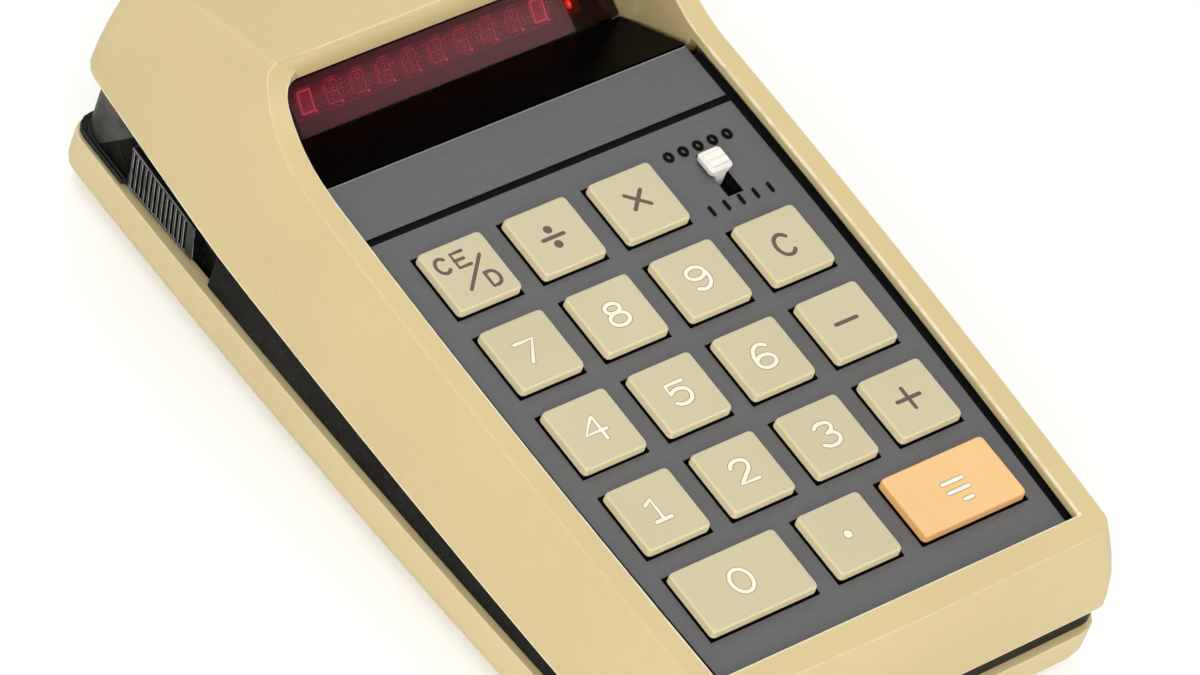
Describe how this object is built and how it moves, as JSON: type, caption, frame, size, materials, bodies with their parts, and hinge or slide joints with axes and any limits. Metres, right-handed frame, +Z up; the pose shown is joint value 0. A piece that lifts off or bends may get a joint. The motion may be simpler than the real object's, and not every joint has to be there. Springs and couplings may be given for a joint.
{
  "type": "pocket calculator",
  "caption": "Tan hand-held calculator with a black middle band, a hooded red figure display, beige keys, one orange key and two small slide switches.",
  "frame": {"origin": "Middle of the outline on the table plane, under the feet.", "axes": "X to the right across the keys, Y from the keys towards the display, Z up from the table."},
  "size_m": [0.0766, 0.1348, 0.0458],
  "materials": {
    "shell_tan": "moulded, satin, light wear on the edges",
    "band_black": "moulded, satin",
    "plate_grey": "fine brushed grain, dark grey",
    "inner_black": "moulded, plain",
    "slider_black": "moulded, ribbed",
    "board_tan": "laminated paper board",
    "board_green": "glass fibre board, varnished",
    "steel_bright": "nickel plated",
    "surround_gloss_black": "polished black",
    "filter_red": "clear dark red, polished",
    "digit_red": "small light-emitting figures under clear resin",
    "knob_ivory": "moulded, satin",
    "chip_grey": "moulded resin",
    "capacitor_blue": "printed sleeve left plain",
    "cell_sleeve": "shrunk sleeve",
    "foot_rubber": "dull",
    "key_beige": "two-shot moulding, satin",
    "key_orange": "two-shot moulding, satin"
  },
  "bodies": {
    "case": {"battery_tray": "inner_black", "bottom_cover": "shell_tan", "calculator_chip": "chip_grey", "case_screw_1": "steel_bright", "case_screw_2": "steel_bright", "cell_1": "cell_sleeve", "cell_2": "cell_sleeve", "cell_3": "cell_sleeve", "cell_4": "cell_sleeve", "cell_5": "cell_sleeve", "cell_6": "cell_sleeve", "charging_jack": "inner_black", "contact_front": "steel_bright", "contact_middle": "steel_bright", "contact_rear": "steel_bright", "converter_coil": "chip_grey", "display_board": "board_green", "display_digits_left": "digit_red", "display_digits_right": "digit_red", "display_driver_1": "chip_grey", "display_driver_2": "chip_grey", "display_filter": "filter_red", "display_surround": "surround_gloss_black", "filter_capacitor": "capacitor_blue", "foot_1": "foot_rubber", "foot_2": "foot_rubber", "foot_3": "foot_rubber", "foot_4": "foot_rubber", "keyboard_frame": "inner_black", "keyboard_plate": "plate_grey", "keyboard_switch_board": "board_tan", "main_circuit_board": "board_green", "middle_housing": "band_black", "mode_switch_body": "inner_black", "power_switch_body": "inner_black", "top_housing": "shell_tan"},
    "key_clear_entry_body": {"key_clear_entry": "key_beige"},
    "key_divide_body": {"key_divide": "key_beige"},
    "key_times_body": {"key_times": "key_beige"},
    "key_7_body": {"key_7": "key_beige"},
    "key_8_body": {"key_8": "key_beige"},
    "key_9_body": {"key_9": "key_beige"},
    "key_clear_body": {"key_clear": "key_beige"},
    "key_4_body": {"key_4": "key_beige"},
    "key_5_body": {"key_5": "key_beige"},
    "key_6_body": {"key_6": "key_beige"},
    "key_minus_body": {"key_minus": "key_beige"},
    "key_1_body": {"key_1": "key_beige"},
    "key_2_body": {"key_2": "key_beige"},
    "key_3_body": {"key_3": "key_beige"},
    "key_plus_body": {"key_plus": "key_beige"},
    "key_0_body": {"key_0": "key_beige"},
    "key_point_body": {"key_point": "key_beige"},
    "key_equals_body": {"key_equals": "key_orange"},
    "mode_knob_body": {"mode_switch_knob": "knob_ivory"},
    "power_slider_body": {"power_switch_slider": "slider_black"}
  },
  "joints": [
    {"name": "key_clear_entry_press", "type": "slide", "parent": "case", "child": "key_clear_entry_body", "axis": [0, -0.0872, 0.9962], "range_m": [-0.0009, 0], "stiffness_N_per_m": 600, "springref_m": 0.0003},
    {"name": "key_divide_press", "type": "slide", "parent": "case", "child": "key_divide_body", "axis": [0, -0.0872, 0.9962], "range_m": [-0.0009, 0], "stiffness_N_per_m": 600, "springref_m": 0.0003},
    {"name": "key_times_press", "type": "slide", "parent": "case", "child": "key_times_body", "axis": [0, -0.0872, 0.9962], "range_m": [-0.0009, 0], "stiffness_N_per_m": 600, "springref_m": 0.0003},
    {"name": "key_7_press", "type": "slide", "parent": "case", "child": "key_7_body", "axis": [0, -0.0872, 0.9962], "range_m": [-0.0009, 0], "stiffness_N_per_m": 600, "springref_m": 0.0003},
    {"name": "key_8_press", "type": "slide", "parent": "case", "child": "key_8_body", "axis": [0, -0.0872, 0.9962], "range_m": [-0.0009, 0], "stiffness_N_per_m": 600, "springref_m": 0.0003},
    {"name": "key_9_press", "type": "slide", "parent": "case", "child": "key_9_body", "axis": [0, -0.0872, 0.9962], "range_m": [-0.0009, 0], "stiffness_N_per_m": 600, "springref_m": 0.0003},
    {"name": "key_clear_press", "type": "slide", "parent": "case", "child": "key_clear_body", "axis": [0, -0.0872, 0.9962], "range_m": [-0.0009, 0], "stiffness_N_per_m": 600, "springref_m": 0.0003},
    {"name": "key_4_press", "type": "slide", "parent": "case", "child": "key_4_body", "axis": [0, -0.0872, 0.9962], "range_m": [-0.0009, 0], "stiffness_N_per_m": 600, "springref_m": 0.0003},
    {"name": "key_5_press", "type": "slide", "parent": "case", "child": "key_5_body", "axis": [0, -0.0872, 0.9962], "range_m": [-0.0009, 0], "stiffness_N_per_m": 600, "springref_m": 0.0003},
    {"name": "key_6_press", "type": "slide", "parent": "case", "child": "key_6_body", "axis": [0, -0.0872, 0.9962], "range_m": [-0.0009, 0], "stiffness_N_per_m": 600, "springref_m": 0.0003},
    {"name": "key_minus_press", "type": "slide", "parent": "case", "child": "key_minus_body", "axis": [0, -0.0872, 0.9962], "range_m": [-0.0009, 0], "stiffness_N_per_m": 600, "springref_m": 0.0003},
    {"name": "key_1_press", "type": "slide", "parent": "case", "child": "key_1_body", "axis": [0, -0.0872, 0.9962], "range_m": [-0.0009, 0], "stiffness_N_per_m": 600, "springref_m": 0.0003},
    {"name": "key_2_press", "type": "slide", "parent": "case", "child": "key_2_body", "axis": [0, -0.0872, 0.9962], "range_m": [-0.0009, 0], "stiffness_N_per_m": 600, "springref_m": 0.0003},
    {"name": "key_3_press", "type": "slide", "parent": "case", "child": "key_3_body", "axis": [0, -0.0872, 0.9962], "range_m": [-0.0009, 0], "stiffness_N_per_m": 600, "springref_m": 0.0003},
    {"name": "key_plus_press", "type": "slide", "parent": "case", "child": "key_plus_body", "axis": [0, -0.0872, 0.9962], "range_m": [-0.0009, 0], "stiffness_N_per_m": 600, "springref_m": 0.0003},
    {"name": "key_0_press", "type": "slide", "parent": "case", "child": "key_0_body", "axis": [0, -0.0872, 0.9962], "range_m": [-0.0009, 0], "stiffness_N_per_m": 600, "springref_m": 0.0003},
    {"name": "key_point_press", "type": "slide", "parent": "case", "child": "key_point_body", "axis": [0, -0.0872, 0.9962], "range_m": [-0.0009, 0], "stiffness_N_per_m": 600, "springref_m": 0.0003},
    {"name": "key_equals_press", "type": "slide", "parent": "case", "child": "key_equals_body", "axis": [0, -0.0872, 0.9962], "range_m": [-0.0009, 0], "stiffness_N_per_m": 600, "springref_m": 0.0003},
    {"name": "mode_switch_slide", "type": "slide", "parent": "case", "child": "mode_knob_body", "axis": [0, 0.9962, 0.0872], "range_m": [-0.003, 0]},
    {"name": "power_switch_slide", "type": "slide", "parent": "case", "child": "power_slider_body", "axis": [0, 0.9962, 0.0872], "range_m": [-0.004, 0]}
  ]
}
